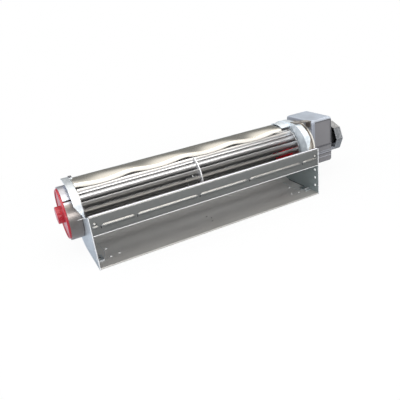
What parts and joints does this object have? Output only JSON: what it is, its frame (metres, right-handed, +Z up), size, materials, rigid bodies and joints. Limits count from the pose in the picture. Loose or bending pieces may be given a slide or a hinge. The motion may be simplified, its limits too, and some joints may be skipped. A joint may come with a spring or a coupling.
{
  "type": "cross flow fan",
  "caption": "Cross flow blower: long bladed drum in an open sheet-metal scroll with a slot outlet, a silicone bearing mount at one end and a covered motor with a cooling wheel at the other.",
  "frame": {"origin": "centre of the footprint, at the height of the surface it stands on", "axes": "+X along the rotor towards the motor, -Y out of the air outlet, +Z up"},
  "size_m": [0.4068, 0.1074, 0.0889],
  "materials": {
    "plate_sheet": "galvanised, matt",
    "scroll_sheet": "galvanised, satin",
    "carrier_sheet": "galvanised, satin",
    "silicone": "soft red silicone",
    "damping_rubber": "soft cream rubber",
    "bronze": "sintered bronze",
    "rivet": "satin",
    "blade_sheet": "rolled, semi bright",
    "disc_sheet": "stamped, satin",
    "ring_sheet": "stamped, satin",
    "shaft_steel": "ground",
    "core_steel": "varnished laminations",
    "copper": "enamelled copper",
    "bobbin_plastic": "moulded, natural",
    "bracket_steel": "zinc plated",
    "terminal_tin": "tinned",
    "cover_plastic": "fine grain, grey",
    "wheel_sheet": "stamped, satin",
    "hub_plastic": "black"
  },
  "bodies": {
    "casing": {"left_end_plate": "plate_sheet", "right_end_plate": "plate_sheet", "scroll_sheet": "scroll_sheet", "vortex_tongue": "scroll_sheet", "bearing_cup": "plate_sheet", "motor_carrier": "carrier_sheet", "bearing_mount": "silicone", "bearing_bush": "bronze", "motor_bushes": "bronze", "vibration_ring": "damping_rubber", "cup_rivets": "rivet", "carrier_rivets": "rivet", "sheet_rivets": "rivet", "stator_core": "core_steel", "shading_loops": "copper", "coil_winding": "copper", "coil_bobbin": "bobbin_plastic", "front_bracket": "bracket_steel", "rear_bracket": "bracket_steel", "motor_spacers": "bracket_steel", "motor_strap": "bracket_steel", "motor_screws": "shaft_steel", "terminals": "terminal_tin", "motor_cover_upper": "cover_plastic", "motor_cover_lower": "cover_plastic"},
    "rotor": {"impeller_blades": "blade_sheet", "left_end_disc": "disc_sheet", "middle_ring": "ring_sheet", "right_end_disc": "disc_sheet", "stub_shaft": "shaft_steel", "drive_hub": "silicone", "motor_shaft": "shaft_steel", "motor_rotor": "core_steel", "cooling_wheel": "wheel_sheet", "wheel_hub": "hub_plastic"}
  },
  "joints": [
    {"name": "rotor_spin", "type": "hinge", "parent": "casing", "child": "rotor", "pos_m": [-0.0291, 0.0127, 0.0492], "axis": [1, 0, 0], "continuous": true}
  ]
}
